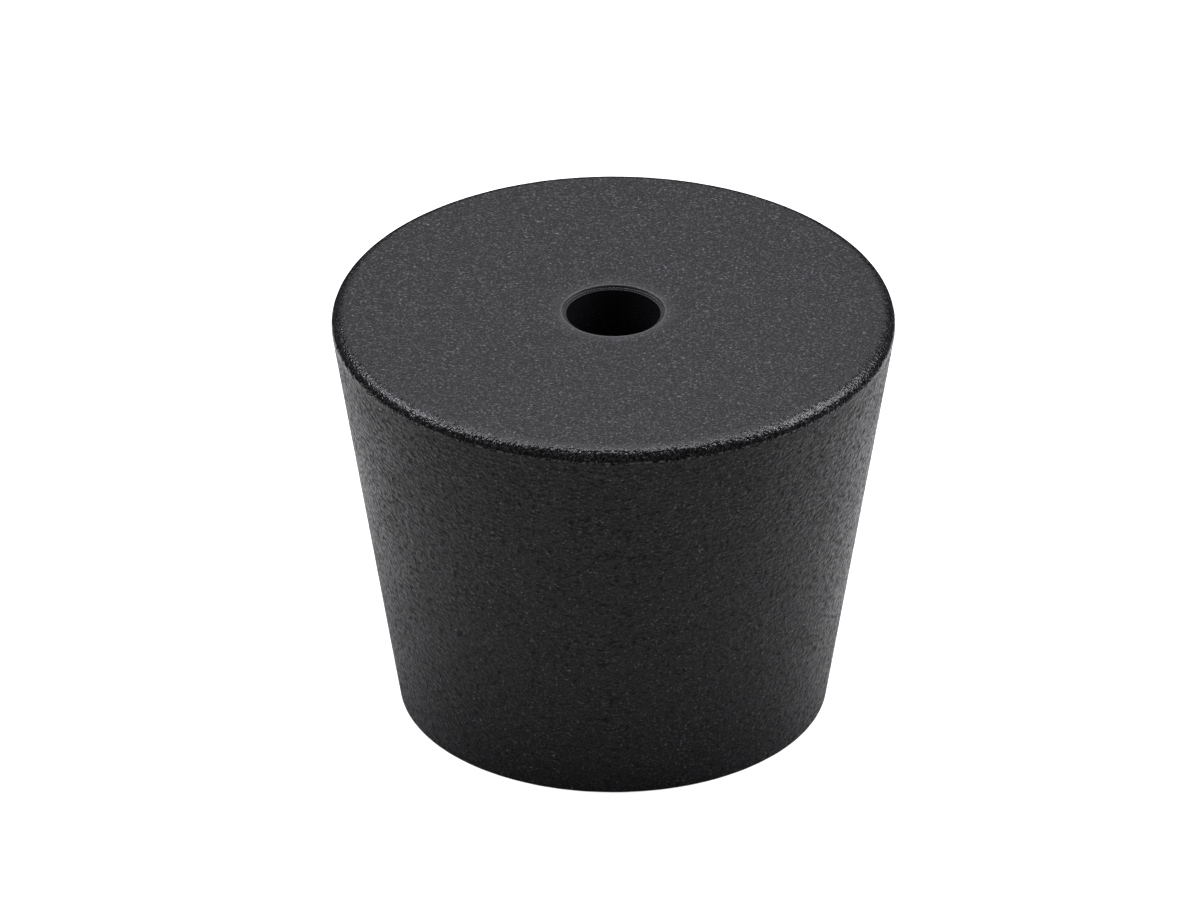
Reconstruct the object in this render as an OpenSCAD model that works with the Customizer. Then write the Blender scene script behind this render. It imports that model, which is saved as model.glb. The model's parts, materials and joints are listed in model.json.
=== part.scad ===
// Tapered rubber stopper with one hole through it, moulded in one piece.
// Millimetres, +Z up. The origin is the centre of the narrow end, on which the stopper stands.

/* [Body] */
// Diameter of the wide end, to the sharp corner that the rim rounds off
top_d = 33.3; // [30:0.1:60]
// Diameter of the narrow end, to the sharp corner that the foot edge rounds off
bottom_d = 25; // [18:0.1:29]
// Height from the narrow end to the wide end
height = 25.4; // [15:0.1:50]

/* [Hole] */
// Diameter of the hole
bore_d = 5.5; // [3:0.1:10]
// Width of the shallow step round the upper mouth of the hole
step_w = 0.25; // [0.2:0.05:2]
// Depth of that step below the wide end
step_h = 0.2; // [0.15:0.05:2]

/* [Edges] */
// Radius of the rim round the wide end
rim_r = 0.9; // [0.3:0.1:2.5]
// Radius of the edge round the narrow end
foot_r = 0.22; // [0.1:0.01:1.5]
// Radius of the two edges of the step
step_r = 0.06; // [0.02:0.01:0.09]
// Radius of the lip at the lower mouth of the hole
lip_r = 0.3; // [0.1:0.05:1]

/* [Hidden] */

// Facets round a full turn
$fn = 144;

// Radius and height of the floor of the step
step_out = bore_d / 2 + step_w;
step_z = height - step_h;

// Half section, anticlockwise from the lower mouth of the hole: the sharp corners and their radii.
// The inner corner of the step stays sharp.
section_corners = [
    [bore_d / 2, 0],
    [bottom_d / 2, 0],
    [top_d / 2, height],
    [step_out, height],
    [step_out, step_z],
    [bore_d / 2, step_z]
];
section_radii = [lip_r, foot_r, rim_r, step_r, 0, step_r];

function unit(v) = v / norm(v);

// Directions from a corner along its two sides
function sides(corner, before, after) = [unit(before - corner), unit(after - corner)];

// Half of the angle between a corner's two sides
function half_angle(s) = acos(s[0] * s[1]) / 2;

// The two points where an arc of radius r runs into the sides of a corner, or the corner if it is sharp
function arc_ends(corner, s, r) =
    r > 0 ? [for (side = s) corner + side * r / tan(half_angle(s))] : [corner];

// Centre of that arc, on the line that halves the corner
function arc_centre(corner, s, r) = corner + unit(s[0] + s[1]) * r / sin(half_angle(s));

// An outline with each corner that has a radius rounded by a true arc, tangent to both of its sides.
// Such corners stand outwards.
module rounded_outline(corners, radii) {
    count = len(corners);
    corner_sides = [
        for (i = [0 : count - 1])
            sides(corners[i], corners[(i + count - 1) % count], corners[(i + 1) % count])
    ];
    polygon([for (i = [0 : count - 1]) each arc_ends(corners[i], corner_sides[i], radii[i])]);
    for (i = [0 : count - 1])
        if (radii[i] > 0)
            translate(arc_centre(corners[i], corner_sides[i], radii[i]))
                circle(r = radii[i]);
}

// The whole stopper: its half section turned about the hole's axis
module stopper() {
    color("#2b2b2d")
        rotate_extrude()
            rounded_outline(section_corners, section_radii);
}

stopper();
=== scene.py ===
"""A tapered rubber stopper with a hole through it: its moulded skin, its rubber and a plain studio."""

import json
import math
from typing import NamedTuple

import bpy
import numpy as np
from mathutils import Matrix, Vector, noise


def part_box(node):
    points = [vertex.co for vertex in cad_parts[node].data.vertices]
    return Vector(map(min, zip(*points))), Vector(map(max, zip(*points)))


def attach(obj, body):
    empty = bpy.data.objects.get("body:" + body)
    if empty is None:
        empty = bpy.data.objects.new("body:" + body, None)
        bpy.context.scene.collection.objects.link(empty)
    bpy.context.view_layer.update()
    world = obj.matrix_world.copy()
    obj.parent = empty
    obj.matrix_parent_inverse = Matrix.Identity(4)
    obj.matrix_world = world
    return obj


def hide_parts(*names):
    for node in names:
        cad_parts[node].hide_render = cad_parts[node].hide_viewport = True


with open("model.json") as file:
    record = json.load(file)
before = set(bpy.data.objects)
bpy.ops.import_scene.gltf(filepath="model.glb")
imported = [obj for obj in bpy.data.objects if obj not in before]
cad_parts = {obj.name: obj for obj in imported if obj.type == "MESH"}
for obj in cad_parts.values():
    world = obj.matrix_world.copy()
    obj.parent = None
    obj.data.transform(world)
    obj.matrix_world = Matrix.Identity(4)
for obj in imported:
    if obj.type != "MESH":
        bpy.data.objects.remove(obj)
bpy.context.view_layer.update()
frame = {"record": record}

MM = 0.001

# Sizes of the moulding, in metres. Its height and its hole come from the frame.
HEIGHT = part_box("stopper")[1].z
MOUNTS = {mount["name"]: mount for mount in frame["record"]["mounts"]}
BORE_R = MOUNTS["tube_hole"]["dims"]["r_mm"] * MM
WIDE_R = 16.65 * MM
NARROW_R = 12.5 * MM
RIM_R = 0.9 * MM
FOOT_R = 0.22 * MM
LIP_R = 0.3 * MM
STEP_W = 0.25 * MM
STEP_H = 0.2 * MM
STEP_R = 0.06 * MM
STEP_INNER_R = 0.02 * MM
STEP_OUT_R = BORE_R + STEP_W

# Fineness of the skin: faces round the axis, lengths of the faces, and faces along each arc
TURN_FACES = 480
SIDE_FACE = 0.28 * MM
WIDE_FACE = 0.32 * MM
NARROW_FACE = 3 * WIDE_FACE
BORE_FACE = 2.0 * MM
RIM_ARC = 16
FOOT_ARC = 5
LIP_ARC = 4
STEP_ARC = 4
STEP_INNER_ARC = 3

# Guard points lie this close to the ends of a straight, unless the straight is too short for them
GUARD = 0.02 * MM
SHORTEST = 5 * GUARD

# The rubber's relief, all of it inwards from the true surface: its depth and the length of its coarse waves
RELIEF = (0.016 * MM, 0.9 * MM)
STEP_RELIEF = (0.006 * MM, 0.35 * MM)

# Shares of that depth, the fine waves' length against the coarse ones', and their shift
MEAN_SHARE = 0.5
COARSE_SHARE = 0.35
FINE_SHARE = 0.25
FINE_LENGTH = 0.55
FINE_SHIFT = Vector((7.3, 1.9, 4.1))

# The square sheet that the skin is laid out flat on: its side, the gap between patches,
# the room for the wide end's disc and the step from its middle to the narrow end's
SHEET = 88 * MM
SHEET_GAP = 0.6 * MM
DISC_ROOM = 18 * MM
DISC_STEP = 34 * MM

# Middle value of a noise that goes from 0 to 1
NOISE_MIDDLE = 0.5

# Lengths in the rubber's grain, and how the side's grain is drawn out round the stopper
GRAIN = 0.13 * MM
MOTTLE = 3.0 * MM
WORM = 0.28 * MM
TINT = 0.4 * MM
DOT = 0.2 * MM
PIT = 0.2 * MM
LUMP = 0.23 * MM
DRAWN_LUMP = 0.22 * MM
SHEEN = 0.2 * MM
WAVE = 0.26 * MM
DRAWN = (0.62, 0.62, 1.0)

# View of the photograph: the picture's scale and the place of the stopper's middle in it
PICTURE_W = 1200
PICTURE_H = 900
PIXELS_PER_MM = 17.074
MIDDLE_PIXEL = (613.34, 506.77)
MIDDLE = Vector((0, 0, 12.13 * MM))
VIEW_ELEVATION = math.radians(30.02)
VIEW_DISTANCE = 2.5
SENSOR_W_MM = 36.0
CLIP_START = 0.05
CLIP_END = 20

# Colour of the lights
COOL_WHITE = (1.0, 0.985, 1.055)


class Light(NamedTuple):
    """A rectangular light that faces the stopper's middle, with its direction in degrees."""

    name: str
    azimuth: float
    elevation: float
    distance: float
    width: float
    height: float
    radiance: float


# Azimuth 0 is the camera's side and 90 the picture's right. The rim mirrors the narrow strips as glints.
LIGHTS = [
    Light("top_light", 0, 90, 0.6, 2.3, 0.38, 5.0),
    Light("strip_light", 0, 82, 0.6, 2.3, 0.02, 54),
    Light("left_strip_light", -98, 36, 0.6, 0.6, 0.012, 58),
    Light("right_strip_light", 98, 36, 0.6, 0.6, 0.012, 58),
    Light("back_top_light", 180, 60, 0.6, 0.5, 0.25, 3),
    Light("back_light", 180, 38, 0.9, 1.2, 0.42, 1.4),
    Light("left_light", -100, 27, 0.6, 0.32, 0.32, 1.0),
    Light("left_back_light", -112, 34, 0.6, 0.28, 0.20, 6),
    Light("right_light", 100, 27, 0.6, 0.32, 0.32, 7.2),
]


class Corner(NamedTuple):
    """A corner of the half section with its round, and the straight that follows it."""

    place: Vector
    radius: float
    arc_faces: int
    zone: str
    straight_zone: str
    straight_face: float


def arc(corner, before, after, radius, count):
    """Points of the arc that rounds a corner and is tangent to both of its sides."""
    if radius == 0:
        return [corner]
    to_before = (before - corner).normalized()
    to_after = (after - corner).normalized()
    half = to_before.angle(to_after) / 2
    centre = corner + (to_before + to_after).normalized() * (radius / math.sin(half))
    start = corner + to_before * (radius / math.tan(half)) - centre
    end = corner + to_after * (radius / math.tan(half)) - centre
    turn = start.angle(end)
    points = []
    for i in range(count + 1):
        t = i / count
        mixed = start * math.sin((1 - t) * turn) + end * math.sin(t * turn)
        points.append(centre + mixed / math.sin(turn))
    return points


def straight(start, end, longest_face):
    """Points between two ends, without the ends, with a guard point close to each end."""
    length = (end - start).length
    if length < SHORTEST:
        return []
    along = (end - start) / length
    first = start + along * GUARD
    last = end - along * GUARD
    count = max(1, math.ceil((last - first).length / longest_face))
    return [first.lerp(last, i / count) for i in range(count + 1)]


def section():
    """The half section's (radius, height) points, from the hole's lower mouth round, and their zones."""
    step_z = HEIGHT - STEP_H
    corners = [
        Corner(Vector((BORE_R, 0)), LIP_R, LIP_ARC, "narrow_end", "narrow_end", NARROW_FACE),
        Corner(Vector((NARROW_R, 0)), FOOT_R, FOOT_ARC, "narrow_end", "side", SIDE_FACE),
        Corner(Vector((WIDE_R, HEIGHT)), RIM_R, RIM_ARC, "wide_end", "wide_end", WIDE_FACE),
        Corner(Vector((STEP_OUT_R, HEIGHT)), STEP_R, STEP_ARC, "step", "step", STEP_H),
        Corner(Vector((STEP_OUT_R, step_z)), 0, 0, "step", "step", STEP_W),
        Corner(Vector((BORE_R, step_z)), STEP_INNER_R, STEP_INNER_ARC, "step", "bore", BORE_FACE),
    ]
    count = len(corners)
    arcs = []
    for i, corner in enumerate(corners):
        before = corners[i - 1].place
        after = corners[(i + 1) % count].place
        arcs.append(arc(corner.place, before, after, corner.radius, corner.arc_faces))
    points = []
    zones = []
    for i, corner in enumerate(corners):
        between = straight(arcs[i][-1], arcs[(i + 1) % count][0], corner.straight_face)
        points += arcs[i] + between
        zones += [corner.zone] * len(arcs[i]) + [corner.straight_zone] * len(between)
    return points, zones


def relief(place, zone):
    """How far the skin lies under its true surface at a place."""
    if zone == "bore":
        return 0.0
    depth, length = STEP_RELIEF if zone == "step" else RELIEF
    coarse = noise.noise(place / length)
    fine = noise.noise(place / (length * FINE_LENGTH) + FINE_SHIFT)
    return depth * (MEAN_SHARE + COARSE_SHARE * coarse + FINE_SHARE * fine)


def skin():
    """The stopper's skin: the section turned about the hole's axis, with the rubber's fine relief."""
    points, zones = section()
    count = len(points)
    normals = []
    for i in range(count):
        along = points[(i + 1) % count] - points[i - 1]
        normals.append(Vector((along.y, -along.x)).normalized())
    verts = []
    for point, normal, zone in zip(points, normals, zones):
        for k in range(TURN_FACES):
            angle = 2 * math.pi * k / TURN_FACES
            out = Vector((math.sin(angle), -math.cos(angle), 0))
            place = out * point.x + Vector((0, 0, point.y))
            inwards = out * -normal.x - Vector((0, 0, normal.y))
            verts.append(place + inwards * relief(place, zone))
    faces = []
    for i in range(count):
        here = i * TURN_FACES
        there = (i + 1) % count * TURN_FACES
        for k in range(TURN_FACES):
            after = (k + 1) % TURN_FACES
            faces.append((here + k, here + after, there + after, there + k))
    mesh = bpy.data.meshes.new("stopper_skin")
    mesh.from_pydata(verts, [], faces)
    mesh.shade_smooth()
    lay_flat(mesh, points, zones)
    return link("stopper_skin", mesh)


def lay_flat(mesh, points, zones):
    """Lays the skin out on the sheet at one scale: two discs, two halves of the side and the hole."""
    count = len(points)
    run = np.zeros(count + 1)
    for i in range(count):
        run[i + 1] = run[i] + (points[(i + 1) % count] - points[i]).length
    # The side starts at the end of the foot's arc, and the hole at the end of the step's
    side_start = run[zones.index("side") - 1]
    bore_start = run[zones.index("bore") - 1]
    # Each disc is laid out from the first point of its flat face
    tolerance = GUARD / 10
    flat_narrow = next(i for i in range(count) if points[i].y < tolerance)
    flat_wide = next(i for i in range(count) if points[i].y > HEIGHT - tolerance)
    half_side = math.pi * WIDE_R
    side_length = run[zones.index("wide_end")] - side_start
    wide_middle = (DISC_ROOM, 2 * side_length + 3 * SHEET_GAP + DISC_ROOM)
    narrow_middle = (wide_middle[0] + DISC_STEP, wide_middle[1])
    coords = np.empty((count, TURN_FACES, 4, 2))
    for i in range(count):
        later = zones[(i + 1) % count]
        for k in range(TURN_FACES):
            corners = ((i, k), (i, k + 1), (i + 1, k + 1), (i + 1, k))
            for c, (j, turn) in enumerate(corners):
                angle = 2 * math.pi * turn / TURN_FACES
                if zones[i] == "side" or later == "side":
                    half = k // (TURN_FACES // 2)
                    u = SHEET_GAP + half_side * (turn / (TURN_FACES / 2) - half)
                    v = SHEET_GAP + run[j] - side_start + half * (side_length + SHEET_GAP)
                elif zones[i] == "bore" or later == "bore":
                    u = 2 * SHEET_GAP + half_side + run[j] - bore_start
                    v = SHEET_GAP + BORE_R * angle
                elif zones[i] == "narrow_end":
                    reach = points[flat_narrow].x + run[j] - run[flat_narrow]
                    u = narrow_middle[0] + reach * math.sin(angle)
                    v = narrow_middle[1] + reach * math.cos(angle)
                else:
                    reach = points[flat_wide].x - run[j] + run[flat_wide]
                    u = wide_middle[0] + reach * math.sin(angle)
                    v = wide_middle[1] + reach * math.cos(angle)
                coords[i, k, c] = (u / SHEET, v / SHEET)
    layer = mesh.uv_layers.new(name="OFBake")
    layer.data.foreach_set("uv", coords.ravel())


def link(name, data):
    """A new object in the scene that shows the data."""
    obj = bpy.data.objects.new(name, data)
    bpy.context.scene.collection.objects.link(obj)
    return obj


def grey(shade):
    """A colour without a tint."""
    return (shade, shade, shade, 1)


class Nodes:
    """A short way to write a material's nodes."""

    # Places of a Mix node's colour sockets, because its sockets for numbers have the same names
    MIX_A = 6
    MIX_B = 7
    MIX_RESULT = 2

    def __init__(self, name):
        self.material = bpy.data.materials.new(name)
        self.material.use_nodes = True
        self.tree = self.material.node_tree
        self.shader = self.tree.nodes["Principled BSDF"]

    def put(self, socket, value):
        """Links a socket to another, or sets it to a plain value."""
        if isinstance(value, bpy.types.NodeSocket):
            self.tree.links.new(value, socket)
        else:
            socket.default_value = value

    def add(self, kind, inputs=None, **settings):
        """A new node with its settings and its inputs."""
        node = self.tree.nodes.new(kind)
        for key, value in settings.items():
            setattr(node, key, value)
        for key, value in (inputs or {}).items():
            self.put(node.inputs[key], value)
        return node

    def math(self, operation, a, b=0.0):
        return self.add("ShaderNodeMath", {0: a, 1: b}, operation=operation).outputs[0]

    def times(self, a, b):
        return self.math("MULTIPLY", a, b)

    def plus(self, a, b):
        return self.math("ADD", a, b)

    def minus(self, a, b):
        return self.math("SUBTRACT", a, b)

    def ramp(self, value, low, high, to_low=0.0, to_high=1.0):
        """A smooth change from one result to another, as the value goes from low to high."""
        inputs = {"Value": value, "From Min": low, "From Max": high, "To Min": to_low, "To Max": to_high}
        return self.add("ShaderNodeMapRange", inputs, interpolation_type="SMOOTHSTEP").outputs["Result"]

    def fall(self, value, low, high):
        """A smooth fall from 1 to 0, as the value goes from low to high."""
        return self.ramp(value, low, high, 1.0, 0.0)

    def by_zone(self, zone, outside, inside):
        """One result outside a zone and another inside it."""
        return self.ramp(zone, 0.0, 1.0, outside, inside)

    def cloud(self, place, length, detail=0.0, rough=0.5):
        """Noise from 0 to 1, with clouds of about this length."""
        inputs = {"Vector": place, "Scale": 1 / length, "Detail": detail, "Roughness": rough}
        return self.add("ShaderNodeTexNoise", inputs).outputs["Fac"]

    def swing(self, cloud, weight):
        """Noise about 0, of this weight."""
        return self.times(self.minus(cloud, NOISE_MIDDLE), weight)

    def mix(self, factor, a, b):
        """A colour that goes from a to b with the factor."""
        node = self.add("ShaderNodeMix", {"Factor": factor}, data_type="RGBA")
        self.put(node.inputs[self.MIX_A], a)
        self.put(node.inputs[self.MIX_B], b)
        return node.outputs[self.MIX_RESULT]


class Zones(NamedTuple):
    """Where the rubber's finish and its painted light and shade change: each is 1 inside its zone and 0
    outside.
    """

    rim: bpy.types.NodeSocket
    under_rim: bpy.types.NodeSocket
    flank: bpy.types.NodeSocket
    bore: bpy.types.NodeSocket
    mouth: bpy.types.NodeSocket
    mouth_highlight: bpy.types.NodeSocket


class Grain(NamedTuple):
    """The rubber's noises, and the places of its specks, sparks, painted highlight dots and pits."""

    fine: bpy.types.NodeSocket
    mottle: bpy.types.NodeSocket
    specks: bpy.types.NodeSocket
    sparks: bpy.types.NodeSocket
    tint: bpy.types.NodeSocket
    dots: bpy.types.NodeSocket
    pits: bpy.types.NodeSocket
    lumps: bpy.types.NodeSocket
    drawn_lumps: bpy.types.NodeSocket
    sheen: bpy.types.NodeSocket
    waves: bpy.types.NodeSocket


def rubber_zones(n, radius, z):
    """The rim and the line of painted highlight dots under it, the side, the hole, its smooth mouth and the
    ring of painted highlight round it.
    """
    near_top = n.ramp(z, HEIGHT - 1.25 * RIM_R, HEIGHT - 0.95 * RIM_R)
    outermost = n.ramp(radius, WIDE_R - 1.1 * MM, WIDE_R - 0.8 * MM)
    rim = n.times(near_top, outermost)
    bore = n.fall(radius, BORE_R + 0.02 * MM, BORE_R + 0.06 * MM)
    mouth = n.fall(radius, STEP_OUT_R, STEP_OUT_R + 0.05 * MM)
    # The ring of painted highlight is palest at the mouth's edge, and fades out over a wider band
    edge_w = 0.22 * MM
    fade_w = 1.3 * MM
    fade_share = 0.36
    edge = n.fall(radius, STEP_OUT_R + 0.05 * MM, STEP_OUT_R + edge_w)
    fade = n.fall(radius, STEP_OUT_R, STEP_OUT_R + fade_w)
    mouth_highlight = n.math("MAXIMUM", edge, n.times(n.times(fade, fade), fade_share))
    mouth_highlight = n.times(mouth_highlight, n.ramp(radius, STEP_OUT_R - 0.06 * MM, STEP_OUT_R - 0.02 * MM))
    mouth_highlight = n.times(mouth_highlight, near_top)
    # The line just under the rim, where dots of painted highlight lie
    line_start = n.ramp(z, HEIGHT - 0.92 * MM, HEIGHT - 0.86 * MM)
    line_end = n.fall(z, HEIGHT - 0.80 * MM, HEIGHT - 0.74 * MM)
    under_rim = n.times(n.times(line_start, line_end), outermost)
    flank = n.fall(z, HEIGHT - 1.4 * RIM_R, HEIGHT - 1.1 * RIM_R)
    return Zones(rim, under_rim, flank, bore, mouth, mouth_highlight)


def rubber_grain(n, place, zones):
    """Fine grain, pale wormy specks and sparks, dots of painted highlight under the rim, pits painted dark
    as shade and slow changes of gloss.
    """
    worm_span = (0.02, 0.09)
    speck_span = (0.44, 0.66)
    spark_span = (0.79, 0.86)
    tint_span = (0.35, 0.65)
    dot_span = (0.45, 0.62)
    pit_span = (0.25, 0.33)
    pit_strength = 0.6
    more_sparks = 0.03
    drawn = n.add("ShaderNodeVectorMath", {0: place, 1: DRAWN}, operation="MULTIPLY").outputs[0]
    # Worms follow the lines where a noise passes its middle value
    worms = n.math("ABSOLUTE", n.minus(n.cloud(place, WORM), NOISE_MIDDLE))
    worms = n.fall(worms, *worm_span)
    specks = n.times(worms, n.ramp(n.cloud(place, GRAIN), *speck_span))
    sparks = n.plus(n.cloud(place, GRAIN), n.times(zones.flank, more_sparks))
    return Grain(
        fine=n.cloud(place, GRAIN, detail=1.0),
        mottle=n.cloud(place, MOTTLE, detail=3.0, rough=0.55),
        specks=n.times(specks, n.by_zone(zones.rim, outside=1.0, inside=0.4)),
        sparks=n.ramp(sparks, *spark_span),
        tint=n.ramp(n.cloud(place, TINT, detail=1.0), *tint_span),
        dots=n.times(zones.under_rim, n.ramp(n.cloud(place, DOT), *dot_span)),
        pits=n.times(zones.flank, n.ramp(n.cloud(drawn, PIT), *pit_span, pit_strength, 0.0)),
        lumps=n.cloud(place, LUMP, detail=2.0, rough=0.6),
        drawn_lumps=n.cloud(drawn, DRAWN_LUMP, detail=1.0),
        sheen=n.cloud(drawn, SHEEN, detail=1.0),
        waves=n.cloud(place, WAVE, detail=1.0),
    )


def rubber_colour(n, zones, grain):
    """Near-black rubber with paler warm and cool specks, painted highlight dots under the rim, pits and a
    mouth step painted dark as shade, a ring of painted highlight round the mouth and a hole painted dark as
    shade.
    """
    grain_span = (0.36, 0.72)
    dark = grey(0.0024)
    light = (0.0104, 0.0104, 0.0106, 1)
    warm_speck = (0.0266, 0.0254, 0.0234, 1)
    cool_speck = (0.0249, 0.0254, 0.0282, 1)
    warm_spark = (0.080, 0.075, 0.064, 1)
    cool_spark = (0.070, 0.073, 0.086, 1)
    # Pale dots along the line under the rim: a painted broken highlight
    dot = (0.042, 0.042, 0.043, 1)
    # The pits are painted black: painted shade in the pits, which the bump also sinks
    pit = grey(0.0)
    # The step in the mouth is painted darker and without specks: painted shade in the recess
    mouth = grey(0.004)
    # A pale ring round the mouth: a painted highlight, palest at the edge
    mouth_highlight = (0.027, 0.027, 0.0275, 1)
    # The hole is painted near black: painted shade inside it
    bore = (0.003, 0.003, 0.0035, 1)
    colour = n.mix(n.ramp(grain.fine, *grain_span), dark, light)
    colour = n.mix(grain.specks, colour, n.mix(grain.tint, warm_speck, cool_speck))
    colour = n.mix(grain.sparks, colour, n.mix(grain.tint, warm_spark, cool_spark))
    colour = n.mix(grain.dots, colour, dot)
    colour = n.mix(grain.pits, colour, pit)
    colour = n.mix(zones.mouth, colour, mouth)
    colour = n.mix(zones.mouth_highlight, colour, mouth_highlight)
    return n.mix(zones.bore, colour, bore)


def rubber_roughness(n, zones, grain):
    """Matte rubber that is glossier on the rim and in the mouth, and speckled on the side."""
    noise_span = (0.3, 0.7)
    sheen_span = (0.35, 0.65)
    least = 0.40
    most = 0.46
    rim_gloss = 0.29
    mouth_gloss = 0.12
    bore_gloss = 0.05
    grain_change = 0.03
    sheen_change = 0.11
    pit_change = 0.2
    rough = n.ramp(grain.mottle, *noise_span, least, most)
    rough = n.minus(rough, n.times(zones.rim, rim_gloss))
    rough = n.minus(rough, n.times(zones.mouth, mouth_gloss))
    rough = n.minus(rough, n.times(zones.bore, bore_gloss))
    rough = n.plus(rough, n.ramp(grain.fine, *noise_span, -grain_change, grain_change))
    sheen = n.ramp(grain.sheen, *sheen_span, sheen_change, -sheen_change)
    rough = n.plus(rough, n.times(zones.flank, sheen))
    return n.plus(rough, n.times(grain.pits, pit_change))


def rubber_height(n, zones, grain):
    """Height of the fine bumps: lumps and pits on the side, waves on the rim, a smooth mouth."""
    drawn_weight = 1.1
    wave_weight = 0.75
    pit_depth = 1.6
    height = n.swing(grain.fine, n.by_zone(zones.rim, outside=0.4, inside=0.5))
    height = n.plus(height, n.swing(grain.lumps, n.by_zone(zones.flank, outside=0.35, inside=1.0)))
    height = n.plus(height, n.swing(grain.drawn_lumps, n.times(zones.flank, drawn_weight)))
    height = n.plus(height, n.swing(grain.waves, n.times(zones.rim, wave_weight)))
    height = n.minus(height, n.times(grain.pits, pit_depth))
    return n.times(height, n.by_zone(zones.mouth, outside=1.0, inside=0.1))


def rubber():
    """Black moulded rubber, speckled and matte."""
    bump_height = 0.06 * MM
    n = Nodes("rubber")
    place = n.add("ShaderNodeTexCoord").outputs["Object"]
    x, y, z = n.add("ShaderNodeSeparateXYZ", {"Vector": place}).outputs
    radius = n.math("SQRT", n.plus(n.times(x, x), n.times(y, y)))
    zones = rubber_zones(n, radius, z)
    grain = rubber_grain(n, place, zones)
    n.put(n.shader.inputs["Base Color"], rubber_colour(n, zones, grain))
    n.put(n.shader.inputs["Roughness"], rubber_roughness(n, zones, grain))
    n.shader.inputs["Specular IOR Level"].default_value = 0.17
    inputs = {"Height": rubber_height(n, zones, grain), "Strength": 1.0, "Distance": bump_height}
    n.put(n.shader.inputs["Normal"], n.add("ShaderNodeBump", inputs).outputs["Normal"])
    return n.material


def plane(name, height, shade):
    """A wide matte plane under the stopper, and the nodes of its material."""
    half = 3.0
    mesh = bpy.data.meshes.new(name)
    corners = [(-half, -half, height), (half, -half, height), (half, half, height), (-half, half, height)]
    mesh.from_pydata(corners, [], [(0, 1, 2, 3)])
    n = Nodes(name)
    n.shader.inputs["Base Color"].default_value = grey(shade)
    n.shader.inputs["Roughness"].default_value = 0.9
    n.shader.inputs["Specular IOR Level"].default_value = 0.1
    n.shader.inputs["Emission Color"].default_value = grey(1)
    mesh.materials.append(n.material)
    obj = link(name, mesh)
    obj.visible_shadow = False
    return obj, n


def floor():
    """The pale floor, which only the camera sees."""
    shade = 0.3
    sheet, n = plane("floor", 0.0, shade)
    n.shader.inputs["Emission Strength"].default_value = 0.85
    sheet.visible_glossy = False
    sheet.visible_diffuse = False


def table():
    """The duller table just under the floor, which lights the rubber with its painted glow and shows in its
    gloss.
    """
    depth = 0.05 * MM
    shade = 0.17
    front_glow = 0.62
    back_glow = 0.70
    left_glow = 0.18
    right_glow = 0.47
    far_share = 0.35
    front_to_back = (-35 * MM, 8 * MM)
    out_from_foot = (11.5 * MM, 31 * MM)
    patch_start = (6 * MM, 16 * MM)
    patch_end = (20 * MM, 28 * MM)
    patch_front = (-14 * MM, 2 * MM)
    left_to_right = (-1 * MM, 1 * MM)
    sheet, n = plane("table", -depth, shade)
    sheet.visible_camera = False
    place = n.add("ShaderNodeTexCoord").outputs["Object"]
    x, y = n.add("ShaderNodeSeparateXYZ", {"Vector": place}).outputs[:2]
    away = n.add("ShaderNodeVectorMath", {0: place}, operation="LENGTH").outputs["Value"]
    # It glows a little more behind the stopper than before it, and not at all close to the stopper's foot,
    # which paints a shadow round the foot
    glow = n.times(n.ramp(y, *front_to_back, front_glow, back_glow), n.ramp(away, *out_from_foot))
    # A brighter patch of painted light lies at each side of the stopper, and the right one is the stronger
    aside = n.math("ABSOLUTE", x)
    patch = n.times(n.ramp(aside, *patch_start), n.ramp(aside, *patch_end, 1.0, far_share))
    patch = n.times(patch, n.ramp(y, *patch_front))
    patch = n.times(patch, n.ramp(x, *left_to_right, left_glow, right_glow))
    n.put(n.shader.inputs["Emission Strength"], n.plus(glow, patch))


def horizon():
    """A dark band round the studio, seen only in reflections."""
    radius = 58 * MM
    bottom = 0.2 * MM
    top = 38 * MM
    shade = 0.02
    count = 96
    verts = []
    for z in (bottom, top):
        for k in range(count):
            a = 2 * math.pi * k / count
            verts.append((radius * math.sin(a), radius * math.cos(a), z))
    faces = [(k, (k + 1) % count, count + (k + 1) % count, count + k) for k in range(count)]
    mesh = bpy.data.meshes.new("horizon")
    mesh.from_pydata(verts, [], faces)
    n = Nodes("horizon")
    n.shader.inputs["Base Color"].default_value = grey(shade)
    n.shader.inputs["Specular IOR Level"].default_value = 0.0
    mesh.materials.append(n.material)
    obj = link("horizon", mesh)
    obj.visible_camera = False
    obj.visible_diffuse = False
    obj.visible_shadow = False


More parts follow.
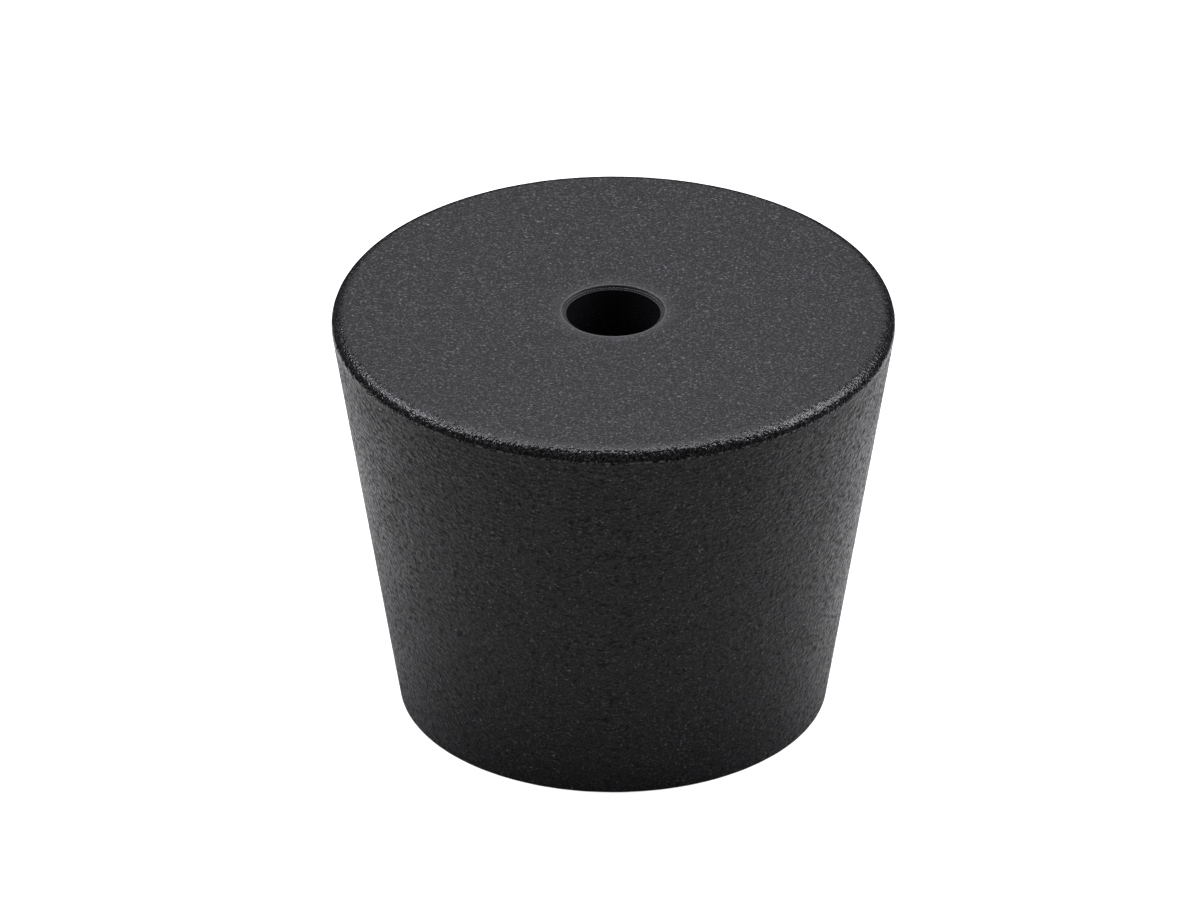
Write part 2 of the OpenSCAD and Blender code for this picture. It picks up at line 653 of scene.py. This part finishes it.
def camera():
    """The photograph's camera: its angle, its scale and the stopper's place in the picture."""
    data = bpy.data.cameras.new("camera")
    data.sensor_width = SENSOR_W_MM
    data.lens = PIXELS_PER_MM / MM * VIEW_DISTANCE / PICTURE_W * SENSOR_W_MM
    data.clip_start = CLIP_START
    data.clip_end = CLIP_END
    obj = link("camera", data)
    back = Vector((0, -math.cos(VIEW_ELEVATION), math.sin(VIEW_ELEVATION)))
    up = Vector((0, math.sin(VIEW_ELEVATION), math.cos(VIEW_ELEVATION)))
    right = Vector((1, 0, 0))
    aside = (PICTURE_W / 2 - MIDDLE_PIXEL[0]) / PIXELS_PER_MM * MM
    above = (MIDDLE_PIXEL[1] - PICTURE_H / 2) / PIXELS_PER_MM * MM
    obj.location = MIDDLE + right * aside + up * above + back * VIEW_DISTANCE
    obj.rotation_mode = "QUATERNION"
    obj.rotation_quaternion = (-back).to_track_quat("-Z", "Y")
    bpy.context.scene.camera = obj


def soft_light(light):
    """Puts a light in the studio, turned to the stopper's middle."""
    data = bpy.data.lights.new(light.name, "AREA")
    data.shape = "RECTANGLE"
    data.size = light.width
    data.size_y = light.height
    data.energy = light.radiance * math.pi * light.width * light.height
    data.color = COOL_WHITE
    obj = link(light.name, data)
    a = math.radians(light.azimuth)
    e = math.radians(light.elevation)
    towards = Vector((math.sin(a) * math.cos(e), -math.cos(a) * math.cos(e), math.sin(e)))
    obj.location = MIDDLE + towards * light.distance
    obj.rotation_mode = "QUATERNION"
    obj.rotation_quaternion = (-towards).to_track_quat("-Z", "Y")


def backdrop():
    """A white world that only the camera sees."""
    world = bpy.data.worlds.new("studio")
    bpy.context.scene.world = world
    world.use_nodes = True
    background = world.node_tree.nodes["Background"]
    background.inputs["Color"].default_value = grey(1)
    background.inputs["Strength"].default_value = 1.2
    world.cycles_visibility.diffuse = False
    world.cycles_visibility.glossy = False


def studio():
    """The plain studio round the stopper."""
    floor()
    table()
    backdrop()
    for light in LIGHTS:
        soft_light(light)
    horizon()
    bpy.context.scene.view_settings.view_transform = "Standard"


camera()
stopper = skin()
stopper.data.materials.append(rubber())
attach(stopper, "root")
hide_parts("stopper")
studio()
